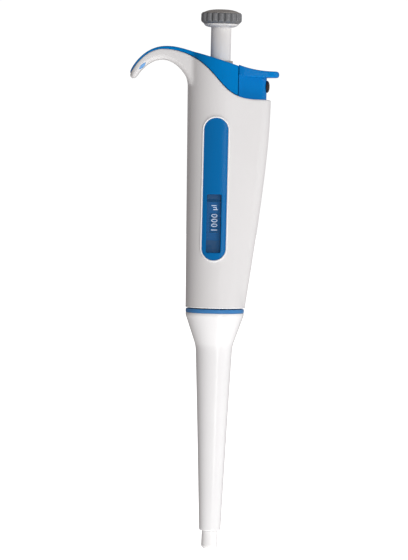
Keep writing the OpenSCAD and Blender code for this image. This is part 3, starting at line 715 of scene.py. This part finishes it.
def make_stem():
    """The push rod, which widens to a flange under the knob."""
    flange = KNOB_BASE - 1.4
    profile = join(
        [(2.55, STEM_LOW), (4.3, STEM_LOW), (4.5, STEM_LOW + 0.2), (4.5, flange - 0.35)],
        bezier((4.5, flange - 0.2), (4.55, flange), (4.7, flange + 0.02), (5.2, flange + 0.04), 6),
        bezier((5.6, flange + 0.06), (6.8, flange + 0.3), (7.5, flange + 0.8), (7.7, flange + 1.35), 10),
        [(7.6, KNOB_BASE), (2.55, KNOB_BASE)],
    )
    points, faces = revolve(profile, 128, closed=True)
    new_mesh("button_stem_smooth", points, faces, ["button_stem"], "knob", STEM_WHITE)


def make_knob():
    """A ribbed knob, cut by a rounded cone at its lower edge, so that each rib ends in a tip."""
    base, top = KNOB_BASE + 0.02, KNOB_TOP
    blend = 0.3

    def ribbed(r, z, angle):
        swell = abs(math.cos((angle + math.pi / 2) * KNOB_RIBS / 2))**0.5
        rib = KNOB_R - 0.12 * (z - base) / (top - base) - RIB_DEPTH * (1 - swell)
        near = max(blend - abs(r - rib), 0) / blend
        return min(r, rib) - near * near * blend / 4

    outside = join(
        [(2.6, base), (7.4, base)],
        bezier((7.65, base + 0.03), (8.1, base + 0.3), (9.0, base + 1.05), (9.3, base + 1.6), 16),
        bezier((9.4, base + 1.9), (9.4, base + 2.3), (9.4, base + 2.6), (9.4, top - 0.5), 6),
        bezier((9.35, top - 0.35), (9.1, top - 0.02), (8.9, top), (8.5, top), 8),
    )
    profile = join(outside, [(3.7, top), (3.7, base + 2.0), (2.6, base + 2.0)])
    points, faces = revolve(profile, KNOB_RIBS * 28, closed=True, radius=ribbed)
    new_mesh("adjust_knob_ribbed", points, faces, ["adjust_knob"], "knob", KNOB_GREY)


def make_knob_cap():
    """A low dome with a plug that sits in the knob."""
    z = KNOB_TOP
    profile = join(
        [(0, z - 0.7), (3.5, z - 0.7), (3.5, z + 0.03), (8.3, z + 0.03)],
        bezier((8.65, z + 0.05), (8.75, z + 0.25), (8.6, z + 0.42), (8.3, z + 0.52), 6),
        bezier((7.6, z + 0.72), (5.5, CAP_TOP - 0.1), (3, CAP_TOP), (0, CAP_TOP), 16),
    )
    points, faces = revolve(profile, 128)
    new_mesh("knob_cap_domed", points, faces, ["knob_cap"], "knob", CAP_GREY)


def make_collar():
    """The calibration nut, with four shallow key slots in its top."""
    bore, r, low, top = 4.75, 5.5, 209.1, 217
    corners = [(bore, low), (r, low), (r, top), (bore, top), (bore, low)]
    profile = fillet(corners, [0.15, 0.4, 0.2])[:-1]

    def slotted(r, z, angle):
        turn = math.degrees(angle) % 90
        in_slot = abs(turn - 45) < 6.5 and z > top - 1.5
        return min(r, 5.0) if in_slot else r

    points, faces = revolve(profile, 240, closed=True, radius=slotted)
    new_mesh("calibration_nut_smooth", points, faces, ["calibration_nut"], "calibration", COLLAR_GREY)


def make_ejector_screw():
    """A screw along X with a domed head behind the neck."""
    x0, x1, r = SCREW_X, SCREW_END, SCREW_R
    profile = join(
        [(0, x0), (r, x0)], bezier((r, x0 + 0.45), (r - 0.1, x1 - 0.5), (r - 1, x1), (0, x1), 14),
    )
    head, head_faces = revolve(profile, 72)
    tip, root = 9.9, x0 + 0.1
    shank, shank_faces = revolve([(0, tip), (SHANK_R, tip), (SHANK_R, root), (0, root)], 32)
    faces = head_faces + [[v + len(head) for v in face] for face in shank_faces]
    points = [(z, x, y + SCREW_Z) for x, y, z in head + shank]
    new_mesh("ejector_screw_domed", points, faces, ["ejector_screw"], "ejector", SCREW_DARK)


def make_springs():
    """Coiled springs at rest. Each row: node, joint, X of the axis, coil radius, wire
    radius, turns, and the joint's travel."""
    springs = [
        ("piston_spring", "plunger_press", 0, 7.05, 0.45, 7, 10),
        ("blowout_spring", "blowout", 0, 7.2, 0.6, 4, 2),
        ("ejector_spring", "ejector_press", 16.3, 2.3, 0.35, 9, 6.5),
    ]
    for name, joint, centre, r, wire_r, turns, travel in springs:
        bottom, top = (corner[2] for corner in cad_mm(name))
        points, faces = helix_tube(centre, r, wire_r, bottom, top - bottom, turns)
        piece = new_mesh(name + "_coil", points, faces, [name], "handle", WIRE_STEEL)
        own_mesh(piece)


# ---------------------------------------------------------------- digits

# the direction from the drums' axis to the window, in degrees
READ_ANGLE = -98.8
DRUM_R = 7.5
DIGIT_HEIGHT = 2.8
DRUM_LOW = cad_mm("thousands_drum")[0][2]
DRUM_PITCH = 2.1
BAND = 1.5
# turn from one digit of a drum to the next, in degrees
DIGIT_STEP = 36


def glyph(text):
    """A flat mesh of a piece of text, in the size and place that the font gives it."""
    curve = bpy.data.curves.new("glyph", "FONT")
    curve.body = text
    curve.offset = 0.007
    curve.resolution_u = 6
    source = bpy.data.objects.new("glyph", curve)
    bpy.context.scene.collection.objects.link(source)
    bpy.context.view_layer.update()
    mesh = bpy.data.meshes.new_from_object(source.evaluated_get(bpy.context.evaluated_depsgraph_get()))
    bpy.data.objects.remove(source)
    bpy.data.curves.remove(curve)
    return mesh


def sliced(mesh, axis, count):
    """Points and faces of a mesh cut into strips across an axis, so that it can bend."""
    work = bmesh.new()
    work.from_mesh(mesh)
    values = [v.co[axis] for v in work.verts]
    normal = Vector((0, 0, 0))
    normal[axis] = 1
    for i in range(1, count):
        at = min(values) + (max(values) - min(values)) * i / count
        geometry = work.verts[:] + work.edges[:] + work.faces[:]
        bmesh.ops.bisect_plane(work, geom=geometry, plane_co=normal * at, plane_no=normal)
    work.verts.index_update()
    points = [v.co.copy() for v in work.verts]
    faces = [[v.index for v in face.verts] for face in work.faces]
    work.free()
    return points, faces


def digit_mesh(text, width, height):
    """A flat glyph of a height, made narrower where it is wider than the width, in eight strips."""
    points, faces = sliced(glyph(text), 1, 8)
    xs, ys = [p.x for p in points], [p.y for p in points]
    scale_y = height / (max(ys) - min(ys))
    span = (max(xs) - min(xs)) * scale_y
    scale_x = scale_y * min(1.0, width / span)
    cx, cy = (max(xs) + min(xs)) / 2, (max(ys) + min(ys)) / 2
    return [((p.x - cx) * scale_x, (p.y - cy) * scale_y) for p in points], faces


def drum_digits(name, body, z, first, count):
    """Digits round a drum, read from below upwards, the first one facing the window."""
    points, faces = [], []
    for n in range(count):
        flat, flat_faces = digit_mesh(str((first - n) % 10), BAND + 0.1, DIGIT_HEIGHT)
        start = len(points)
        centre = math.radians(READ_ANGLE + DIGIT_STEP * n)
        for along, up in flat:
            angle = centre - up / DRUM_R
            r = DRUM_R + 0.02
            points.append((r * math.cos(angle), r * math.sin(angle), z + BAND / 2 + along))
        faces += [[start + v for v in face] for face in flat_faces]
    new_mesh(name, points, faces, [], body, DIGIT_PALE_PAINTED_GLOW, smooth=False)


def make_digits():
    """The digits of the counter, and the unit beside them. Each row: name, body, first digit, count."""
    rows = [("thousands", "thousands", 1, 10), ("hundreds", "hundreds", 0, 10), ("tens", "drive", 0, 10),
            ("units", "handle", 0, 1)]
    for i, (name, body, first, count) in enumerate(rows):
        drum_digits(name + "_digits", body, DRUM_LOW + i * DRUM_PITCH, first, count)
    flat, faces = digit_mesh("µl", 3.0, 2.9)
    x, y, z = -1.1, -9.22, DRUM_LOW + 10.7
    points = [(x - up, y, z + along) for along, up in flat]
    new_mesh("unit_mark", points, faces, [], "handle", DIGIT_PALE_PAINTED_GLOW, smooth=False)


# ---------------------------------------------------------------- carried-over CAD nodes

CAD_MATERIALS = {
    FRAME_GREY: ["barrel_nut", "lower_frame", "piston_cap", "counter_frame", "upper_frame"],
    SEAL_WHITE: ["piston_seal", "seal_retainer", "stem_guide"],
    RUBBER_BLACK: ["o_ring", "friction_ring"],
    PISTON_STEEL: ["piston"],
    STEEL: ["pinion_shaft", "frame_screws", "spindle", "knob_screw", "ejector_rod"],
    BRASS: ["drive_sleeve", "stop_plate"],
    GEAR_WHITE: ["carry_pinion_1", "carry_pinion_2", "stop_nut"],
    DRUM_BLUE: ["thousands_drum", "hundreds_drum", "tens_drum", "zero_ring"],
    MASK_BLUE: ["volume_mask"],
}


def dress_cad_nodes():
    """The materials of the CAD nodes that stay as they are."""
    for material, names in CAD_MATERIALS.items():
        for name in names:
            piece = bpy.data.objects[name]
            for slot in piece.material_slots:
                slot.material = material


# ---------------------------------------------------------------- stage, light and camera

# the height that the lights aim at, in metres
MID_HEIGHT = 0.12


def make_camera():
    """A long lens, level with the middle of the handle, rolled by as much as the object leans."""
    data = bpy.data.cameras.new("camera")
    data.lens = 209
    data.sensor_width = 36
    data.sensor_fit = "AUTO"
    data.clip_start = 0.05
    data.clip_end = 50
    camera = bpy.data.objects.new("camera", data)
    place = Vector((-0.0051, -1.45, 0.1686))
    target = Vector((-0.0051, 0, 0.1192))
    camera.location = place
    look = (target - place).to_track_quat("-Z", "Y").to_matrix().to_4x4()
    roll = math.radians(1.32)
    camera.rotation_euler = (look @ Matrix.Rotation(roll, 4, "Z")).to_euler()
    bpy.context.scene.collection.objects.link(camera)
    bpy.context.scene.camera = camera


def softbox(name, turn, height, distance, size, strength, kind, colour=(1, 1, 1)):
    """A rectangular light that faces the object, turned round it from the camera's side towards +X.

    The strength is what it adds to a white surface that faces it. A "lit" one lights surfaces
    and has no reflection; a "mirrored" one is only seen as a reflection.
    """
    data = bpy.data.lights.new(name, "AREA")
    data.shape = "RECTANGLE"
    data.size, data.size_y = size
    data.color = colour
    lamp = bpy.data.objects.new(name, data)
    a = math.radians(turn)
    lamp.location = (distance * math.sin(a), -distance * math.cos(a), height)
    to_object = Vector((0, 0, MID_HEIGHT)) - lamp.location
    data.energy = strength * math.pi**2 * to_object.length_squared
    lamp.rotation_euler = to_object.to_track_quat("-Z", "Y").to_euler()
    lamp.visible_camera = False
    lamp.visible_glossy = kind != "lit"
    lamp.visible_diffuse = kind != "mirrored"
    bpy.context.scene.collection.objects.link(lamp)


def floor_material():
    """Pale matt board, with the far part lit up as a studio backdrop is."""
    material = plastic("pale_floor", (0.90, 0.90, 0.90), 0.7, 40, 0.02, 0.004)
    tree = material.node_tree
    shader = tree.nodes["Principled BSDF"]
    shader.inputs["Specular IOR Level"].default_value = 0.1
    shader.inputs["Emission Color"].default_value = (1, 1, 1, 1)
    coordinates = tree.nodes.new("ShaderNodeTexCoord")
    reach = tree.nodes.new("ShaderNodeVectorMath")
    reach.operation = "LENGTH"
    tree.links.new(coordinates.outputs["Object"], reach.inputs[0])
    ramp = tree.nodes.new("ShaderNodeMapRange")
    ramp.interpolation_type = "SMOOTHSTEP"
    ramp.inputs["From Min"].default_value = 0.25
    ramp.inputs["From Max"].default_value = 0.75
    ramp.inputs["To Min"].default_value = 0.55
    ramp.inputs["To Max"].default_value = 1.1
    tree.links.new(reach.outputs["Value"], ramp.inputs["Value"])
    tree.links.new(ramp.outputs["Result"], shader.inputs["Emission Strength"])
    return material


def make_stage():
    """A wide floor below the object, which gives it neither light nor shade."""
    mesh = bpy.data.meshes.new("floor")
    s = 12.0
    z = -0.10
    mesh.from_pydata([(-s, -s, z), (s, -s, z), (s, s, z), (-s, s, z)], [], [(0, 1, 2, 3)])
    floor = bpy.data.objects.new("floor", mesh)
    bpy.context.scene.collection.objects.link(floor)
    mesh.materials.append(floor_material())
    floor.visible_diffuse = False
    floor.visible_glossy = False
    floor.visible_shadow = False


def make_world():
    """White where the camera sees it, and a softer grey for the light that it gives."""
    world = bpy.data.worlds.new("studio")
    bpy.context.scene.world = world
    world.use_nodes = True
    tree = world.node_tree
    fill = tree.nodes["Background"]
    fill.inputs["Color"].default_value = (1, 0.94, 0.935, 1)
    fill.inputs["Strength"].default_value = 0.28
    backdrop = tree.nodes.new("ShaderNodeBackground")
    backdrop.inputs["Color"].default_value = (1, 1, 1, 1)
    backdrop.inputs["Strength"].default_value = 1.05
    path = tree.nodes.new("ShaderNodeLightPath")
    mix = tree.nodes.new("ShaderNodeMixShader")
    tree.links.new(path.outputs["Is Camera Ray"], mix.inputs["Fac"])
    tree.links.new(fill.outputs["Background"], mix.inputs[1])
    tree.links.new(backdrop.outputs["Background"], mix.inputs[2])
    tree.links.new(mix.outputs["Shader"], tree.nodes["World Output"].inputs["Surface"])


def make_lights():
    """A tall soft box right of the camera, one at the right side, light up from the table, and a
    narrow upright strip that is only seen as a reflection."""
    softbox("key", 22, 0.35, 1.9, (0.55, 1.5), 0.60, "lit")
    softbox("right", 100, 0.30, 1.3, (0.6, 1.2), 0.38, "lit", (0.99, 0.99, 1))
    softbox("table", 10, -1.10, 0.45, (0.9, 0.9), 0.84, "lit", (1, 0.99, 0.98))
    softbox("key_mirrored", 24, -0.35, 1.4, (0.25, 2.4), 0.16, "mirrored")


scene = bpy.context.scene
scene.view_settings.view_transform = "Standard"
make_camera()
make_world()
make_stage()
make_lights()
dress_cad_nodes()
make_handle()
make_cover()
make_latch()
make_display()
make_highlight_beads()
make_window()
make_button()
make_sleeve()
make_nozzle()
make_ring()
make_stem()
make_knob()
make_knob_cap()
make_collar()
make_ejector_screw()
make_springs()
make_digits()
